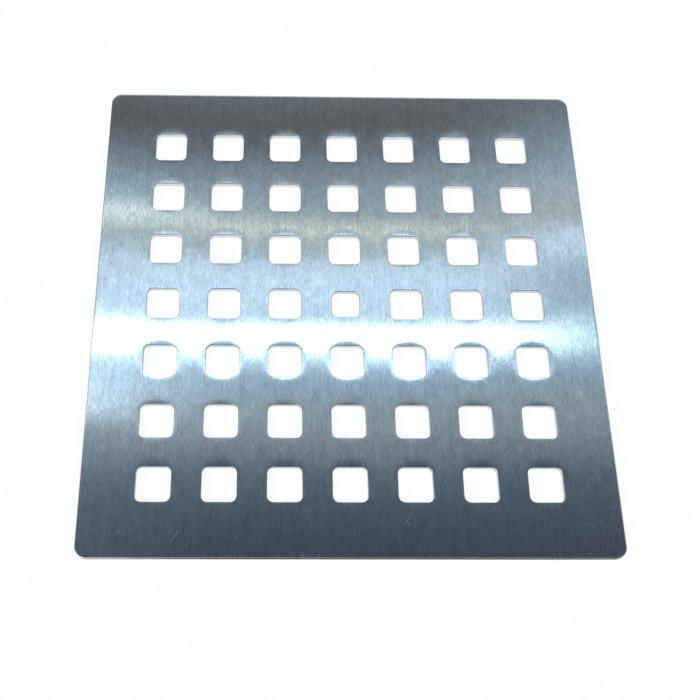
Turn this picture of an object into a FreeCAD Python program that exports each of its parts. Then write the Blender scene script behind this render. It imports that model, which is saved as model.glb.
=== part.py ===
import FreeCAD, Part
import math
import os
import Sketcher

# Square shower drain grate, punched from one flat sheet of stainless steel.
# Sizes are in millimetres. The underside lies on z = 0 with its middle at the origin,
# +Z points up from the side that is walked on, and the sides run along X and Y.

NODE = "grate_plate"

SIZES = [
    ("plate_side", 115.0, "length of each side of the square plate"),
    ("plate_thickness", 1.5, "thickness of the sheet"),
    ("plate_corner_radius", 2.5, "radius of the four corners seen from above"),
    ("edge_break", 0.2, "width of the flat that breaks the outer edges"),
    ("hole_pitch", 14.0, "distance between the middles of neighbouring holes"),
    ("holes_out", 3, "holes counted from the middle one to a side"),
    ("hole_side", 7.5, "width of a square hole"),
    ("hole_corner_radius", 1.3, "radius of the corners of every hole"),
    ("middle_hole_side", 6.4, "width of the smaller hole in the middle"),
    ("roll_width", 0.3, "width of the rim that the punch draws down around a hole"),
    ("roll_depth", 0.12, "how far that rim dips at the wall of the hole"),
]

POINT = FreeCAD.Vector
UP = POINT(0, 0, 1)
QUARTERS = 4
CLOSE = 0.01  # edges this near to a place are taken to lie there


def make_sheet(doc):
    """The table that every feature below reads its sizes from."""
    sheet = doc.addObject("Spreadsheet::Sheet", "sizes")
    for row, (alias, value, meaning) in enumerate(SIZES, start=1):
        sheet.set(f"A{row}", alias)
        sheet.set(f"B{row}", str(value))
        sheet.set(f"C{row}", meaning)
        sheet.setAlias(f"B{row}", alias)
    doc.recompute()
    return sheet


def origin_part(body, role):
    """A plane or an axis of the body's own origin."""
    return next(item for item in body.Origin.OriginFeatures if item.Role == role)


def constrain(sketch, *terms):
    return sketch.addConstraint(Sketcher.Constraint(*terms))


def drive(sketch, name, formula, *terms):
    """Adds a constraint of that name whose value follows a formula of the sheet."""
    index = constrain(sketch, *terms, float(sketch.evalExpression(formula)))
    sketch.renameConstraint(index, name)
    sketch.setExpression(f"Constraints.{name}", formula)


def rounded_square(body, name, side, radius, middle_x="0"):
    """A sketch on the ground plane of a square with round corners, its middle on the X axis."""
    sketch = body.newObject("Sketcher::SketchObject", name)
    sketch.AttachmentSupport = (origin_part(body, "XY_Plane"), "")
    sketch.MapMode = "FlatFace"
    # A first guess at the outline, which the constraints then bring to size.
    reach, straight_end = 4.0, 3.0
    lines, arcs = [], []
    for quarter in range(QUARTERS):
        turn = FreeCAD.Rotation(UP, 90 * quarter)
        start = turn.multVec(POINT(straight_end, reach))
        end = turn.multVec(POINT(-straight_end, reach))
        lines.append(sketch.addGeometry(Part.LineSegment(start, end)))
        centre = turn.multVec(POINT(-straight_end, straight_end))
        circle = Part.Circle(centre, UP, reach - straight_end)
        first = math.radians(90 * (quarter + 1))
        arc = Part.ArcOfCircle(circle, first, first + math.radians(90))
        arcs.append(sketch.addGeometry(arc))
    for quarter in range(QUARTERS):
        following = lines[(quarter + 1) % QUARTERS]
        constrain(sketch, "Tangent", lines[quarter], 2, arcs[quarter], 1)
        constrain(sketch, "Tangent", arcs[quarter], 2, following, 1)
        constrain(sketch, ("Horizontal", "Vertical")[quarter % 2], lines[quarter])
    for arc in arcs[1:]:
        constrain(sketch, "Equal", arcs[0], arc)
    middle = sketch.addGeometry(Part.Point(POINT(0, 0, 0)), True)
    constrain(sketch, "Symmetric", arcs[0], 3, arcs[2], 3, middle, 1)
    constrain(sketch, "PointOnObject", middle, 1, -1)
    straight = f"{side} - 2 * {radius}"
    drive(sketch, "middle_x", middle_x, "DistanceX", -1, 1, middle, 1)
    drive(sketch, "corner_radius", radius, "Radius", arcs[0])
    drive(sketch, "straight_x", straight, "DistanceX", arcs[0], 3, arcs[3], 3)
    drive(sketch, "straight_y", straight, "DistanceY", arcs[1], 3, arcs[0], 3)
    return sketch


def plate_blank(doc, body):
    """The sheet cut to its outline, with the edges of both sides broken."""
    outline = rounded_square(
        body, "plate_outline", "sizes.plate_side", "sizes.plate_corner_radius"
    )
    plate = body.newObject("PartDesign::Pad", "plate_blank")
    plate.Profile = outline
    plate.setExpression("Length", "sizes.plate_thickness")
    doc.recompute()
    level_faces = [
        f"Face{number}"
        for number, face in enumerate(plate.Shape.Faces, start=1)
        if face.BoundBox.ZLength < CLOSE
    ]
    edges = body.newObject("PartDesign::Chamfer", "broken_edges")
    edges.Base = (plate, level_faces)
    edges.setExpression("Size", "sizes.edge_break")
    doc.recompute()
    return [plate, edges]


def punched_hole(doc, body, name, side, middle_x="0"):
    """A square hole, and the rim around it that the punch draws down on its way in."""
    outline = rounded_square(
        body, f"{name}_outline", side, "sizes.hole_corner_radius", middle_x
    )
    hole = body.newObject("PartDesign::Pocket", f"{name}_punched")
    hole.Profile = outline
    hole.Type = "ThroughAll"
    hole.Reversed = True
    doc.recompute()
    mouth = outline.Shape.BoundBox
    mouth.move(UP * hole.Shape.BoundBox.ZMax)
    mouth.enlarge(CLOSE)
    mouth_edges = [
        f"Edge{number}"
        for number, edge in enumerate(hole.Shape.Edges, start=1)
        if mouth.isInside(edge.CenterOfMass)
    ]
    rim = body.newObject("PartDesign::Chamfer", f"{name}_rim")
    rim.Base = (hole, mouth_edges)
    rim.ChamferType = "Two distances"
    rim.SupportTransform = True
    rim.setExpression("Size", "sizes.roll_width")
    rim.setExpression("Size2", "sizes.roll_depth")
    doc.recompute()
    return [hole, rim]


def hole_grid(doc, body, hole):
    """The hole beside the middle, repeated over a quarter of the plate and then turned
    about the middle, which fills every place of the grid but the middle one."""
    grid = body.newObject("PartDesign::MultiTransform", "hole_grid")
    grid.Originals = hole
    steps = []
    for name, axis, count in (
        ("columns", "X_Axis", "sizes.holes_out"),
        ("rows", "Y_Axis", "sizes.holes_out + 1"),
    ):
        row = body.newObject("PartDesign::LinearPattern", name)
        row.Direction = (origin_part(body, axis), [""])
        row.setExpression("Occurrences", count)
        row.setExpression("Length", f"sizes.hole_pitch * ({count} - 1)")
        steps.append(row)
    turned = body.newObject("PartDesign::PolarPattern", "quarter_turns")
    turned.Axis = (origin_part(body, "Z_Axis"), [""])
    turned.Angle = 360
    turned.Occurrences = QUARTERS
    grid.Transformations = [*steps, turned]
    body.Tip = grid
    doc.recompute()
    return [grid]


def check(doc, body, sheet, features):
    """Stops the build where a step failed, took nothing away or left a hole out."""
    for item in doc.Objects:
        if {"Invalid", "Error"} & set(item.State):
            raise RuntimeError(f"{item.Name} did not compute")
    for earlier, later in zip(features, features[1:]):
        if not later.Shape.isValid() or later.Shape.Volume >= earlier.Shape.Volume:
            raise RuntimeError(f"{later.Name} cut nothing or is not valid")
    top = max(body.Shape.Faces, key=lambda face: face.CenterOfMass.z)
    found, wanted = len(top.Wires) - 1, (2 * int(sheet.holes_out) + 1) ** 2
    if len(body.Shape.Solids) != 1 or found != wanted:
        raise RuntimeError(f"{NODE} has {found} holes where {wanted} belong")


def build():
    doc = FreeCAD.newDocument("shower_drain_grate")
    sheet = make_sheet(doc)
    body = doc.addObject("PartDesign::Body", NODE)
    features = plate_blank(doc, body)
    hole = punched_hole(doc, body, "hole", "sizes.hole_side", "sizes.hole_pitch")
    features += hole + hole_grid(doc, body, hole)
    features += punched_hole(doc, body, "middle_hole", "sizes.middle_hole_side")
    check(doc, body, sheet, features)
    os.makedirs("parts", exist_ok=True)
    body.Shape.exportStep(f"parts/{NODE}.step")


build()
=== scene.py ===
import bmesh
import bpy
import math
from mathutils import Matrix, Vector, noise


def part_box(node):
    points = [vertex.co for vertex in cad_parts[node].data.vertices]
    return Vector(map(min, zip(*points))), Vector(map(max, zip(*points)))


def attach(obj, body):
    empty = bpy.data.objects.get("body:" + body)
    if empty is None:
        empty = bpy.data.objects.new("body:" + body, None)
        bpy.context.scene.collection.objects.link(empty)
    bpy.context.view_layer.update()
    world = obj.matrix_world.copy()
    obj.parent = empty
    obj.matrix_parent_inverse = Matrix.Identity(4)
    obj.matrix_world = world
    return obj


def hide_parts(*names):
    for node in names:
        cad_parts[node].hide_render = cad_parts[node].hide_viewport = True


# Square shower drain grate, punched from one flat sheet of brushed stainless steel.
# The plate rests on z = 0 with its middle at the origin, and the brushed lines run along Y.

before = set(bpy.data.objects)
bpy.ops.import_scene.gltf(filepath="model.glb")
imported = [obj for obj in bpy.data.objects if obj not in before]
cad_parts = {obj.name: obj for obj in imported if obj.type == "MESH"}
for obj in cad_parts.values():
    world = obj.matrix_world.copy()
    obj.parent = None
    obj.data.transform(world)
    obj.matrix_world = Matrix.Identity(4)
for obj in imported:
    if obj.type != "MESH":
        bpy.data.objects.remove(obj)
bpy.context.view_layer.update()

MM = 0.001
LOW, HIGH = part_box("grate_plate")
UP = Vector((0, 0, 1))

# Sizes of the plate, the same as the CAD model's.
PLATE_HALF = (HIGH.x - LOW.x) / 2
THICKNESS = HIGH.z - LOW.z
PLATE_CORNER = 2.5 * MM
PITCH = 14.0 * MM
HOLES_A_SIDE = 7
HOLE_HALF = 3.75 * MM
MIDDLE_HOLE_HALF = 3.2 * MM
HOLE_CORNER = 1.3 * MM

# Where the punch went in, the sheet sinks towards the hole in a wide shallow dip, and then
# rolls over into the wall. The dip is deeper on the far side of a hole, as if the punch had
# leaned, and more so in some rows. Each row of holes, from the nearest to the farthest, is
# given by how deep its dips are at the near and at the far side of a hole, in thousandths of
# a millimetre. A deeper dip is wider. The whole sheet is a little wavy as well.
ROW_DIPS = [(12, 36), (14, 37), (20, 30), (10, 16), (10, 34), (10, 23), (8, 36)]
THOUSANDTH = 0.001 * MM
DIP_DEPTH = 40  # a dip of this many thousandths
DIP_SPREAD = 2.8 * MM  # is this wide
DIP_SQUARENESS = 2.3  # 2 would make the dip round, and a large number as square as the hole
DIP_FALL = 3  # the power of the curve by which a dip levels out
ROLL_RADIUS = 0.08 * MM
BURR_BREAK = 0.08 * MM  # the edge of the underside, rubbed down after punching
EDGE_ROUND = 0.12 * MM  # the outer edge of the upper side
EDGE_SUPPORT = 0.5 * MM  # flat ring that keeps the shading of the upper side level
WAVE_LENGTH = 25.0 * MM
WAVE_DEPTH = 0.05 * MM

ARC_STEPS = 6
STRAIGHT_STEPS = 6
ROLL_STEPS = 4
DIP_STEPS = 9
WELD = THOUSANDTH
MOST_CORNERS = 100_000  # more than the plate's mesh has
WALL_FINISHES = ["punched", "trimmed"]
FINISHES = ["brushed", "rolled", *WALL_FINISHES]
FACES_DOWN = -0.5  # a face whose normal is below this in Z points down,
FACES_UP = 0.7  # and one whose normal is above this points up


def core_point(point, reach):
    """The nearest point to this one in a square that reaches this far from its middle."""
    return Vector((max(-reach, min(reach, point.x)), max(-reach, min(reach, point.y)), 0))


def loop_pushed(bm, edges, place):
    """Extrudes a row of edges and puts each new vertex where the function says."""
    made = bmesh.ops.extrude_edge_only(bm, edges=edges)["geom"]
    for vert in [item for item in made if isinstance(item, bmesh.types.BMVert)]:
        vert.co = place(vert.co)
    return [item for item in made if isinstance(item, bmesh.types.BMEdge)]


def quarter_round(radius):
    """Steps along a quarter circle from a level face to a wall, as distances in and down."""
    turns = [math.radians(90) * step / ROLL_STEPS for step in range(ROLL_STEPS + 1)]
    return [(radius * (1 - math.sin(turn)), radius * (1 - math.cos(turn))) for turn in turns]


def dip(point, near, far):
    """How far the upper side has sunk at this point, measured from the middle of its hole."""
    powers = [abs(value) ** DIP_SQUARENESS for value in point.xy]
    away = sum(powers) ** (1 / DIP_SQUARENESS) - HOLE_HALF
    depth = near + (far - near) * (1 + point.y / point.xy.length) / 2
    width = DIP_SPREAD * math.sqrt(depth / DIP_DEPTH)
    return depth * THOUSANDTH * (1 - min(away / width, 1)) ** DIP_FALL


def tile(near, far):
    """One cell of the grid around a hole: upper side, wall and underside."""
    bm = bmesh.new()
    bmesh.ops.create_grid(bm, x_segments=1, y_segments=1, size=HOLE_HALF)
    bmesh.ops.bevel(
        bm, geom=bm.verts[:], offset=HOLE_CORNER, offset_type="OFFSET", affect="VERTICES",
        segments=ARC_STEPS, profile=0.5, material=-1,
    )
    straight = [edge for edge in bm.edges if edge.calc_length() > HOLE_HALF]
    bmesh.ops.subdivide_edges(bm, edges=straight, cuts=STRAIGHT_STEPS - 1)
    bmesh.ops.delete(bm, geom=bm.faces[:], context="FACES_ONLY")
    reach = HOLE_HALF - HOLE_CORNER
    for vert in bm.verts:
        vert.co.z = THICKNESS - ROLL_RADIUS - dip(vert.co, near, far)

    def out(point):
        core = core_point(point, reach)
        return core, Vector((point.x - core.x, point.y - core.y, 0))

    def upper(away, down):
        def place(point):
            core, way = out(point)
            spot = core + way.normalized() * (HOLE_CORNER + away)
            return spot + UP * (THICKNESS - down - dip(spot, near, far))
        return place

    def level(away, height):
        def place(point):
            core, way = out(point)
            return core + way.normalized() * (HOLE_CORNER + away) + UP * height
        return place

    def cell_edge(height):
        def place(point):
            core, way = out(point)
            stretch = (PITCH / 2 - reach) / max(abs(way.x), abs(way.y))
            return core + way * stretch + UP * height
        return place

    mouth = bm.edges[:]
    top = mouth
    for away, down in reversed(quarter_round(ROLL_RADIUS)[:-1]):
        top = loop_pushed(bm, top, upper(away, down))
    growth = (DIP_SPREAD / ROLL_RADIUS) ** (1 / DIP_STEPS)
    for step in range(1, DIP_STEPS + 1):
        top = loop_pushed(bm, top, upper(ROLL_RADIUS * growth**step, 0))
    loop_pushed(bm, top, cell_edge(THICKNESS))
    under = loop_pushed(bm, mouth, level(0, BURR_BREAK))
    under = loop_pushed(bm, under, level(BURR_BREAK, 0))
    loop_pushed(bm, under, cell_edge(0))
    return bm


def copy_into(bm, source, shift, narrowed=0.0):
    """Adds a copy of a tile, moved to its place, with its hole narrowed by this much."""
    mesh = bpy.data.meshes.new("tile_copy")
    source.to_mesh(mesh)
    held = set(bm.verts)
    bm.from_mesh(mesh)
    bpy.data.meshes.remove(mesh)
    added = [vert for vert in bm.verts if vert not in held]
    reach = HOLE_HALF - HOLE_CORNER
    for vert in added:
        inside = max(abs(vert.co.x), abs(vert.co.y)) < PITCH / 2 - WELD
        if narrowed and inside:
            vert.co -= core_point(vert.co, reach) * (narrowed / reach)
    bmesh.ops.translate(bm, verts=added, vec=shift)


def border(bm, field_half):
    """The plain border around the field of holes, with its rounded outer edge and corners."""
    straight_half = PLATE_HALF - PLATE_CORNER

    def rows(test):
        return [
            edge for edge in bm.edges
            if edge.is_boundary and all(test(vert.co) for vert in edge.verts)
        ]

    def widened(point):
        wide = [
            math.copysign(straight_half, value) if abs(value) > field_half - WELD else value
            for value in point.xy
        ]
        return Vector((*wide, point.z))

    for height in (0, THICKNESS):
        loop_pushed(bm, rows(lambda co: abs(co.z - height) < WELD), widened)

    # The outer edge in section, as steps outwards and heights, from the upper side round to
    # the underside.
    section = [(PLATE_CORNER - EDGE_SUPPORT, THICKNESS)]
    section += [
        (PLATE_CORNER - inwards, THICKNESS - down) for inwards, down in quarter_round(EDGE_ROUND)
    ]
    section += [(PLATE_CORNER, BURR_BREAK), (PLATE_CORNER - BURR_BREAK, 0)]
    section += [(PLATE_CORNER - EDGE_SUPPORT, 0), (0, 0)]
    for quarter in range(4):
        turn = Matrix.Rotation(math.radians(90 * quarter), 3, "Z")
        back = turn.inverted()

        def on_side(co):
            here = back @ co
            level = abs(here.z - THICKNESS) < WELD and abs(here.x) < straight_half + WELD
            return level and abs(here.y - straight_half) < WELD

        def at_end(co):
            here = back @ co
            return abs(here.x - straight_half) < WELD and here.y > straight_half - WELD

        row = rows(on_side)
        for outwards, height in section:
            def placed(co):
                return turn @ Vector(((back @ co).x, straight_half + outwards, height))
            row = loop_pushed(bm, row, placed)
        bmesh.ops.spin(
            bm, geom=rows(at_end), cent=turn @ Vector((straight_half, straight_half, 0)), axis=UP,
            angle=math.radians(-90), steps=2 * ARC_STEPS,
        )
    bmesh.ops.remove_doubles(bm, verts=bm.verts[:], dist=WELD)


def finish_of(face):
    """The finish of a face, told by the way it points and where it lies."""
    if face.normal.z < FACES_DOWN:
        return "rolled"
    if face.normal.z > FACES_UP:
        return "brushed"
    middle = face.calc_center_median()
    in_field = max(abs(middle.x), abs(middle.y)) < PLATE_HALF - PLATE_CORNER
    return "punched" if in_field else "trimmed"


def place_in_list(face):
    """A number that only this face has, from its corners, which every run numbers alike."""
    first, second, third, *_ = sorted(vert.index for vert in face.verts)
    return (first * MOST_CORNERS + second) * MOST_CORNERS + third


def grate():
    """The whole plate: the grid of tiles and the border around it."""
    bm = bmesh.new()
    out = HOLES_A_SIDE // 2
    for row, (near, far) in enumerate(ROW_DIPS, start=-out):
        one = tile(near, far)
        for column in range(-out, out + 1):
            narrowed = HOLE_HALF - MIDDLE_HOLE_HALF if row == column == 0 else 0.0
            copy_into(bm, one, Vector((column, row, 0)) * PITCH, narrowed)
        one.free()
    bmesh.ops.remove_doubles(bm, verts=bm.verts[:], dist=WELD)
    border(bm, HOLES_A_SIDE * PITCH / 2)
    # Extruding lists the faces in no fixed order, so they are sorted.
    bm.verts.index_update()
    bm.faces.sort(key=place_in_list)
    bmesh.ops.recalc_face_normals(bm, faces=bm.faces[:])
    for vert in bm.verts:
        if vert.co.z > THICKNESS / 2:
            sway = noise.noise(Vector((vert.co.x, vert.co.y, 0)) / WAVE_LENGTH)
            vert.co.z -= WAVE_DEPTH * (1 + sway) / 2
    bm.normal_update()
    across = bm.loops.layers.uv.new("across_the_brushing")
    for face in bm.faces:
        face.smooth = True
        face.material_index = FINISHES.index(finish_of(face))
        for corner in face.loops:
            corner[across].uv = corner.vert.co.xy / (2 * PLATE_HALF) + Vector((0.5, 0.5))
    under = FINISHES.index("rolled")
    for edge in bm.edges:
        # The underside ends in a crisp edge, so that the walls are shaded evenly down to it.
        edge.smooth = len({face.material_index == under for face in edge.link_faces}) == 1
    mesh = bpy.data.meshes.new("punched_plate")
    bm.to_mesh(mesh)
    bm.free()
    plate = bpy.data.objects.new("punched_plate", mesh)
    bpy.context.collection.objects.link(plate)
    return plate


def colour(hex_code):
    """A colour written in sRGB hex, as linear red, green, blue and alpha."""
    values = [int(hex_code[at:at + 2], 16) / 255 for at in (1, 3, 5)]
    linear = [v / 12.92 if v <= 0.04045 else ((v + 0.055) / 1.055) ** 2.4 for v in values]
    return (*linear, 1.0)


def add_node(tree, kind, settings=None, **inputs):
    """Adds a node with its settings, and sets or links its inputs by name or by number."""
    node = tree.nodes.new(kind)
    for name, value in (settings or {}).items():
        setattr(node, name, value)
    for name, value in inputs.items():
        key = name.replace("_", " ").strip()
        socket = node.inputs[int(key) if key.isdigit() else key]
        if isinstance(value, bpy.types.NodeSocket):
            tree.links.new(value, socket)
        else:
            socket.default_value = value
    return node


def empty_tree(owner):
    owner.use_nodes = True
    owner.node_tree.nodes.clear()
    return owner.node_tree


# Brushed stainless steel: a belt with grit dragged along Y leaves fine straight lines, so
# lights smear out across the lines, stay crisp along them, and the lines show as faint streaks.
LINE_DEPTH = 0.01 * MM
# Width, length and share of the long lines, the short ones, the fine grain between them, the
# slow drift of the belt and a soft mottling. Real lines are near 0.05 mm wide, and these are
# drawn coarser so that they show.
BRUSH_MARKS = [
    (0.2 * MM, 8.0 * MM, 0.18),
    (0.2 * MM, 1.6 * MM, 0.37),
    (0.25 * MM, 0.35 * MM, 0.17),
    (1.2 * MM, 14.0 * MM, 0.12),
    (2.5 * MM, 3.5 * MM, 0.16),
]
STEEL_DARK = "#A6AAAE"
STEEL_LIGHT = "#DFE1E3"
STREAKS_LOW, STREAKS_HIGH = 0.36, 0.64  # nearly all of the summed marks lie between these
BRUSHED_ROUGHNESS = (0.15, 0.13)
BRUSHED_ANISOTROPY = 0.95
# Fine scratches and specks from use: dull, so that they catch light from all round. Turn,
# length and width of the scratches, real ones being finer, and the share of them that show.
SCRATCHES = [(25, 6.0 * MM, 0.2 * MM), (-35, 5.0 * MM, 0.2 * MM), (70, 3.0 * MM, 0.16 * MM)]
SCRATCH_SHARE = 0.12
SCRATCH_CELL = 10  # each lies in a cell this many times as long and as wide as itself
SPECK_SPREAD = 9.0 * MM
SPECK_RADIUS = 0.14 * MM
SCRATCH_ROUGHNESS = 0.38


def brushed_stainless():
    material = bpy.data.materials.new("brushed_stainless_steel")
    tree = empty_tree(material)
    place = add_node(tree, "ShaderNodeTexCoord").outputs["Object"]
    streaks = 0.0
    for width, length, share in BRUSH_MARKS:
        marks = add_node(
            tree, "ShaderNodeTexNoise", Scale=1.0, Detail=1.0, Roughness=0.6,
            Vector=add_node(
                tree, "ShaderNodeMapping", Vector=place, Scale=(1 / width, 1 / length, 0.0)
            ).outputs[0],
        ).outputs["Fac"]
        streaks = add_node(
            tree, "ShaderNodeMath", {"operation": "MULTIPLY_ADD"}, _0=marks, _1=share, _2=streaks
        ).outputs[0]
    near_speck = add_node(
        tree, "ShaderNodeTexVoronoi", {"voronoi_dimensions": "2D"},
        Vector=place, Scale=1 / SPECK_SPREAD,
    ).outputs["Distance"]
    scratched = add_node(
        tree, "ShaderNodeMapRange", Value=near_speck,
        From_Min=SPECK_RADIUS / SPECK_SPREAD, From_Max=0.5 * SPECK_RADIUS / SPECK_SPREAD,
    ).outputs[0]
    for turn, length, width in SCRATCHES:
        cells = add_node(
            tree, "ShaderNodeTexVoronoi", {"voronoi_dimensions": "2D"}, Scale=1.0,
            Vector=add_node(
                tree, "ShaderNodeMapping", {"vector_type": "TEXTURE"}, Vector=place,
                Rotation=(0.0, 0.0, math.radians(turn)),
                Scale=(SCRATCH_CELL * width, SCRATCH_CELL * length, 1.0),
            ).outputs[0],
        ).outputs
        line = add_node(
            tree, "ShaderNodeMapRange", Value=cells["Distance"],
            From_Min=0.5 / SCRATCH_CELL, From_Max=0.0,
        ).outputs[0]
        chosen = add_node(
            tree, "ShaderNodeMath", {"operation": "LESS_THAN"},
            _0=add_node(tree, "ShaderNodeSeparateColor", Color=cells["Color"]).outputs[0],
            _1=SCRATCH_SHARE,
        ).outputs[0]
        drawn = add_node(
            tree, "ShaderNodeMath", {"operation": "MULTIPLY"}, _0=line, _1=chosen
        ).outputs[0]
        scratched = add_node(
            tree, "ShaderNodeMath", {"operation": "MAXIMUM"}, _0=scratched, _1=drawn
        ).outputs[0]
    tone = add_node(
        tree, "ShaderNodeMix", {"data_type": "RGBA"},
        _0=add_node(
            tree, "ShaderNodeMapRange", Value=streaks, From_Min=STREAKS_LOW, From_Max=STREAKS_HIGH
        ).outputs[0],
        _6=colour(STEEL_DARK), _7=colour(STEEL_LIGHT),
    ).outputs[2]
    rough = add_node(
        tree, "ShaderNodeMix", {"data_type": "FLOAT"}, _0=scratched,
        _2=add_node(
            tree, "ShaderNodeMapRange", Value=streaks, From_Min=STREAKS_LOW, From_Max=STREAKS_HIGH,
            To_Min=BRUSHED_ROUGHNESS[0], To_Max=BRUSHED_ROUGHNESS[1],
        ).outputs[0],
        _3=SCRATCH_ROUGHNESS,
    ).outputs[0]
    bump = add_node(
        tree, "ShaderNodeBump", Strength=1.0, Distance=LINE_DEPTH, Height=streaks
    ).outputs[0]
    tangent = add_node(
        tree, "ShaderNodeTangent",
        {"direction_type": "UV_MAP", "uv_map": "across_the_brushing"},
    ).outputs[0]
    steel = add_node(
        tree, "ShaderNodeBsdfPrincipled", Base_Color=tone, Metallic=1.0, Roughness=rough,
        Anisotropic=BRUSHED_ANISOTROPY, Normal=bump, Tangent=tangent,
    )
    add_node(tree, "ShaderNodeOutputMaterial", Surface=steel.outputs[0])
    return material


# The underside keeps the dull even grey of rolled sheet, with no brushed lines.
ROLLED_GRAIN = 0.6 * MM
ROLLED_TONES = ("#A9ACAE", "#C2C4C5")
ROLLED_ROUGHNESS = (0.32, 0.48)


def rolled_stainless():
    material = bpy.data.materials.new("rolled_stainless_steel")
    tree = empty_tree(material)
    place = add_node(tree, "ShaderNodeTexCoord").outputs["Object"]
    grain = add_node(
        tree, "ShaderNodeTexNoise", Vector=place, Scale=1 / ROLLED_GRAIN, Detail=4.0
    ).outputs["Fac"]
    tone = add_node(
        tree, "ShaderNodeMix", {"data_type": "RGBA"}, _0=grain,
        _6=colour(ROLLED_TONES[0]), _7=colour(ROLLED_TONES[1]),
    ).outputs[2]
    rough = add_node(
        tree, "ShaderNodeMapRange", Value=grain,
        To_Min=ROLLED_ROUGHNESS[0], To_Max=ROLLED_ROUGHNESS[1],
    ).outputs[0]
    steel = add_node(
        tree, "ShaderNodeBsdfPrincipled", Base_Color=tone, Metallic=1.0, Roughness=rough
    )
    add_node(tree, "ShaderNodeOutputMaterial", Surface=steel.outputs[0])
    return material


# The walls that the punch and the shear cut: burnished below the upper side, with fine upright
# drag marks, and pale and dull where the sheet broke away further down. The burnished part is
# given a dark bluish tone that is painted shade, in place of the shade and dark reflections in
# the walls. The punch burnishes a short way, and the shear nearly all the way down the outer
# edge. On the near side the burnished band thins out towards the corners, most of all on the
# left, so that the pale torn wall there is a painted highlight, a glint along that edge.
DRAG_WIDTH = 0.25 * MM
DRAG_LENGTH = 2.5 * MM
DRAG_LOW, DRAG_HIGH = 0.3, 0.7  # nearly all of the drag marks' noise lies between these
TORN_ROUGHNESS = (0.42, 0.55)
BURNISHED_ROUGHNESS = 0.3
BREAK_BLUR = 0.1 * MM
# Painted shade: the dark tones of the burnished parts of the walls.
BURNISHED_PAINTED_SHADE = {"punched": "#5F6B76", "trimmed": "#3F4B58"}
TORN_TONES = {"punched": ("#CDD2D6", "#EDEFF1"), "trimmed": ("#9AA3AA", "#CBD2D7")}
# The height at which the burnished part ends, usually and beyond the ends of the near side,
# and how ragged that line is: the width and the height of its teeth. Where it ends higher,
# near the ends of the near side, the pale torn wall below is a painted highlight, a glint
# along that edge.
BURNISHED_FROM = {"punched": (1.22 * MM, 1.22 * MM), "trimmed": (0.3 * MM, 1.6 * MM)}
TOOTH_WIDTH = {"punched": 1.0 * MM, "trimmed": 2.0 * MM}
TOOTH_HEIGHT = {"punched": 0.2 * MM, "trimmed": 0.8 * MM}
# Painted highlight: from here the burnished band thins out, so that the pale torn wall shows as a
# glint towards the ends of the near side, most of all on the left.
SHEAR_AND_GLINT_MIDDLE = 8.0 * MM  # the place along X from which it thins out both ways
SHEAR_THINS_FOR_GLINT_FROM = 36.0 * MM
SHEAR_THINS_FOR_GLINT_TO = 60.0 * MM


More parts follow.
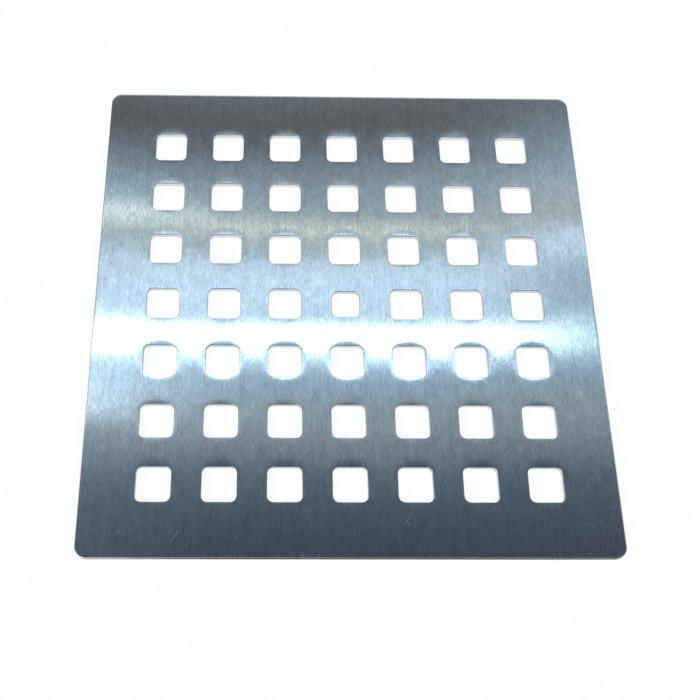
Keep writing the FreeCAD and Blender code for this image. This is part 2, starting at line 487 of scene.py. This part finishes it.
def sheared_stainless_with_painted_shade(finish):
    material = bpy.data.materials.new(f"{finish}_stainless_steel")
    tree = empty_tree(material)
    place = add_node(tree, "ShaderNodeTexCoord").outputs["Object"]
    marks = add_node(
        tree, "ShaderNodeTexNoise", Scale=1.0, Detail=2.0,
        Vector=add_node(
            tree, "ShaderNodeMapping", Vector=place,
            Scale=(1 / DRAG_WIDTH, 1 / DRAG_WIDTH, 1 / DRAG_LENGTH),
        ).outputs[0],
    ).outputs["Fac"]
    across, along, height = add_node(tree, "ShaderNodeSeparateXYZ", Vector=place).outputs
    off_middle = add_node(
        tree, "ShaderNodeMath", {"operation": "ABSOLUTE"},
        _0=add_node(
            tree, "ShaderNodeMath", {"operation": "SUBTRACT"}, _0=across, _1=SHEAR_AND_GLINT_MIDDLE
        ).outputs[0],
    ).outputs[0]
    usual, at_near_corners = BURNISHED_FROM[finish]
    # Painted highlight: near the ends of the near side the burnished band gives way to pale wall.
    at_corners_with_glint = add_node(
        tree, "ShaderNodeMapRange", Value=along, To_Min=usual, To_Max=at_near_corners,
        From_Min=PLATE_CORNER - PLATE_HALF, From_Max=-PLATE_HALF,
    ).outputs[0]
    break_height = add_node(
        tree, "ShaderNodeMapRange", Value=off_middle, To_Min=usual, To_Max=at_corners_with_glint,
        From_Min=SHEAR_THINS_FOR_GLINT_FROM, From_Max=SHEAR_THINS_FOR_GLINT_TO,
    ).outputs[0]
    above_break = add_node(
        tree, "ShaderNodeMath", {"operation": "SUBTRACT"}, _0=height, _1=break_height
    ).outputs[0]
    teeth = add_node(
        tree, "ShaderNodeTexNoise", Vector=place, Scale=1 / TOOTH_WIDTH[finish], Detail=3.0
    ).outputs["Fac"]
    ragged = add_node(
        tree, "ShaderNodeMapRange", Value=teeth,
        To_Min=-TOOTH_HEIGHT[finish] / 2, To_Max=TOOTH_HEIGHT[finish] / 2,
    ).outputs[0]
    # Where the burnished part is: smoother, and painted dark as shade.
    burnished_painted_shade = add_node(
        tree, "ShaderNodeMapRange", {"interpolation_type": "SMOOTHSTEP"},
        Value=add_node(
            tree, "ShaderNodeMath", {"operation": "ADD"}, _0=above_break, _1=ragged
        ).outputs[0],
        From_Min=-BREAK_BLUR, From_Max=BREAK_BLUR,
    ).outputs[0]
    torn = add_node(
        tree, "ShaderNodeMapRange", Value=marks, From_Min=DRAG_LOW, From_Max=DRAG_HIGH,
        To_Min=TORN_ROUGHNESS[0], To_Max=TORN_ROUGHNESS[1],
    ).outputs[0]
    rough = add_node(
        tree, "ShaderNodeMix", {"data_type": "FLOAT"},
        _0=burnished_painted_shade, _2=torn, _3=BURNISHED_ROUGHNESS,
    ).outputs[0]
    dull, pale = TORN_TONES[finish]
    torn_tone = add_node(
        tree, "ShaderNodeMix", {"data_type": "RGBA"}, _0=marks, _6=colour(dull), _7=colour(pale)
    ).outputs[2]
    # Painted shade: the burnished part takes its dark tone in place of the torn tone.
    tone = add_node(
        tree, "ShaderNodeMix", {"data_type": "RGBA"}, _0=burnished_painted_shade, _6=torn_tone,
        _7=colour(BURNISHED_PAINTED_SHADE[finish]),
    ).outputs[2]
    # The burnished part doesn't flare up where it is seen edge on, so the tint is its tone, and
    # its painted shade stays dark there too.
    steel = add_node(
        tree, "ShaderNodeBsdfPrincipled", Base_Color=tone, Metallic=1.0, Roughness=rough,
        Specular_Tint=tone,
    )
    add_node(tree, "ShaderNodeOutputMaterial", Surface=steel.outputs[0])
    return material


# Stage: a pale floor, a soft dim room, and lamps.
FLOOR_HALF = 3.0
FLOOR_GAP = 0.05 * MM
FLOOR_TONE = "#F4F4F4"
FLOOR_GLOW = 0.94  # share of the floor's look that is plain white, the rest shows shadows


def pale_floor():
    bm = bmesh.new()
    bmesh.ops.create_grid(bm, x_segments=1, y_segments=1, size=FLOOR_HALF)
    bmesh.ops.translate(bm, verts=bm.verts[:], vec=-UP * FLOOR_GAP)
    mesh = bpy.data.meshes.new("pale_floor")
    bm.to_mesh(mesh)
    bm.free()
    floor = bpy.data.objects.new("pale_floor", mesh)
    bpy.context.collection.objects.link(floor)
    material = bpy.data.materials.new("pale_studio_floor")
    tree = empty_tree(material)
    path = add_node(tree, "ShaderNodeLightPath").outputs
    seen = add_node(
        tree, "ShaderNodeMath", {"operation": "MAXIMUM"},
        _0=path["Is Camera Ray"],
        _1=add_node(
            tree, "ShaderNodeMath", {"operation": "MAXIMUM"},
            _0=path["Is Glossy Ray"], _1=path["Is Transmission Ray"],
        ).outputs[0],
    ).outputs[0]
    share = add_node(
        tree, "ShaderNodeMath", {"operation": "MULTIPLY"}, _0=seen, _1=FLOOR_GLOW
    ).outputs[0]
    lit = add_node(tree, "ShaderNodeBsdfDiffuse", Color=colour(FLOOR_TONE)).outputs[0]
    white = add_node(tree, "ShaderNodeEmission", Color=colour("#FFFFFF"), Strength=1.0).outputs[0]
    look = add_node(tree, "ShaderNodeMixShader", _0=share, _1=lit, _2=white).outputs[0]
    add_node(tree, "ShaderNodeOutputMaterial", Surface=look)
    mesh.materials.append(material)


CAMERA_AT = Vector((-16.6, -86.9, 197.1)) * MM
CAMERA_AIM = Vector((-12.3, -6.1, 0.0)) * MM
CAMERA_ROLL = math.radians(3.16)
CAMERA_SENSOR = 36.0
CAMERA_LENS = 47.9
CAMERA_SHIFT = (0.0824, -0.0276)
CAMERA_CLIP = 0.01

# The room's shade from the front wall over the ceiling to the back wall. Each shade is given
# by the place along Y on the plate, in millimetres, at which the camera sees it mirrored.
ROOM_GLOW = 1.5
ROOM_SHADES = [
    (-400, "#A4ABB0"),
    (-130, "#929BA1"),
    (-92, "#727D85"),
    (-74, "#3A454E"),
    (-58, "#37424C"),
    (-42, "#4D5E6A"),
    (-27, "#8F9EA5"),
    (-17, "#7C97AA"),
    (-6, "#90A9BA"),
    (16, "#94A3A8"),
    (31, "#8EA1AD"),
    (44, "#5F676D"),
    (50, "#59544F"),
    (58, "#687077"),
    (250, "#F0F4F6"),
]


def soft_room():
    world = bpy.data.worlds.new("soft_room")
    bpy.context.scene.world = world
    tree = empty_tree(world)
    way = add_node(
        tree, "ShaderNodeSeparateXYZ",
        Vector=add_node(tree, "ShaderNodeTexCoord").outputs["Generated"],
    ).outputs["Y"]
    shades = add_node(
        tree, "ShaderNodeValToRGB",
        Fac=add_node(tree, "ShaderNodeMapRange", Value=way, From_Min=-1.0).outputs[0],
    )
    stops = shades.color_ramp.elements
    for plate_y, shade in ROOM_SHADES:
        rise = math.atan2(plate_y * MM - CAMERA_AT.y, CAMERA_AT.z)
        stops.new((1 + math.sin(rise)) / 2).color = colour(shade)
    # The two stops that a new ramp comes with, at its ends.
    stops.remove(stops[-1])
    stops.remove(stops[0])
    room = add_node(
        tree, "ShaderNodeBackground", Color=shades.outputs[0], Strength=ROOM_GLOW
    ).outputs[0]
    add_node(tree, "ShaderNodeOutputWorld", Surface=room)


WATTS_FOR_GLOW = 4  # power that makes a face of one square metre as bright as a glow of 1


def lamp(name, middle, aim, width, length, glow, tint="#FFFFFF"):
    """A soft box of this width and length that faces its aim, with a face this bright."""
    light = bpy.data.lights.new(name, "AREA")
    light.shape = "RECTANGLE"
    light.size = width
    light.size_y = length
    light.color = colour(tint)[:3]
    light.energy = WATTS_FOR_GLOW * glow * width * length
    holder = bpy.data.objects.new(name, light)
    holder.location = middle
    holder.rotation_euler = (aim - middle).to_track_quat("-Z", "Y").to_euler()
    bpy.context.collection.objects.link(holder)


LAMP_HEIGHT = 1.0

# Soft boxes that face the plate from around it: middle, width and length in metres, and glow.
FACING_LAMPS = {
    "front_key": ((-0.91, -0.76, 1.07), 1.5, 1.2, 1.8),
    "left_fill": ((-1.4, -0.1, 0.8), 1.4, 1.4, 0.7),
    "right_fill": ((1.4, -0.1, 0.8), 1.4, 1.4, 0.7),
}

# Soft boxes level over the plate, given by where the camera sees them mirrored in it, in
# millimetres: left, right, near and far edge, then the glow and the tint. None overlaps
# another, because a ray that meets two in one plane sees only one of them.
MIRRORED_LAMPS = {
    "white_strip": (-80, 46, -11.6, -5.4, 4.2, "#D6F4FF"),
    "white_left_end": (-90, -46, -5.4, -2.2, 2.4, "#D6F4FF"),
    "white_right_end": (46, 90, -11.8, -8.8, 0.8, "#D6F4FF"),
    "pale_panel": (-80, 42, -1, 12.5, 0.68, "#D0EAFF"),
    "pale_left_end": (-90, -44, 12.5, 16.5, 0.5, "#D0EAFF"),
    "middle_low_panel": (-47, 40, -22, -13.5, 0.07, "#D6F0FF"),
    "left_panel": (-90, -47, -26, -14.5, 1.1, "#D6F0FF"),
    "left_low_panel": (-90, -47, -62, -26, 0.09, "#D0E6FF"),
    "left_far_panel": (-90, -44, 27, 35, 0.2, "#ADE2FF"),
    "warm_strip": (-42, 30, 18.6, 20.8, 1.15, "#F4FFD0"),
    "warm_left_panel": (-90, -38, 22.8, 26.4, 1.35, "#F0FFF4"),
    "right_warm_panel": (42, 90, 22, 28, 0.13, "#FFD880"),
    "right_middle_panel": (42, 90, 28, 36, 0.2, "#E6F0FF"),
    "right_panel": (42, 90, 36, 46, 0.07, "#D0E6FF"),
    "right_far_panel": (42, 90, 46, 66, 0.16, "#BEECFF"),
    "right_bright_panel": (44, 90, 14, 22, 0.9, "#CCE8FF"),
}


def mirrored(plate_x, plate_y):
    """Where the ray that the camera sees mirrored at this place reaches the lamps' height."""
    spot = Vector((plate_x, plate_y, 0)) * MM
    way = spot - CAMERA_AT
    way.z = -way.z
    return spot + way * (LAMP_HEIGHT / way.z)


def studio():
    plate_middle = Vector((0, 0, 0))
    for name, (place, width, length, glow) in FACING_LAMPS.items():
        lamp(name, Vector(place), plate_middle, width, length, glow)
    for name, (left, right, near, far, glow, tint) in MIRRORED_LAMPS.items():
        low, high = mirrored(left, near), mirrored(right, far)
        middle, size = (low + high) / 2, high - low
        lamp(name, middle, middle - UP, size.x, size.y, glow, tint)


def camera():
    data = bpy.data.cameras.new("camera")
    data.sensor_width = CAMERA_SENSOR
    data.lens = CAMERA_LENS
    data.shift_x, data.shift_y = CAMERA_SHIFT
    data.clip_start = CAMERA_CLIP
    holder = bpy.data.objects.new("camera", data)
    look = (CAMERA_AIM - CAMERA_AT).to_track_quat("-Z", "Y").to_matrix()
    turned = look @ Matrix.Rotation(CAMERA_ROLL, 3, "Z")
    holder.matrix_world = Matrix.Translation(CAMERA_AT) @ turned.to_4x4()
    bpy.context.collection.objects.link(holder)
    bpy.context.scene.camera = holder


plate = grate()
walls = [sheared_stainless_with_painted_shade(finish) for finish in WALL_FINISHES]
for material in (brushed_stainless(), rolled_stainless(), *walls):
    plate.data.materials.append(material)
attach(plate, "root")
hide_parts("grate_plate")

pale_floor()
soft_room()
studio()
camera()
bpy.context.scene.view_settings.view_transform = "Standard"
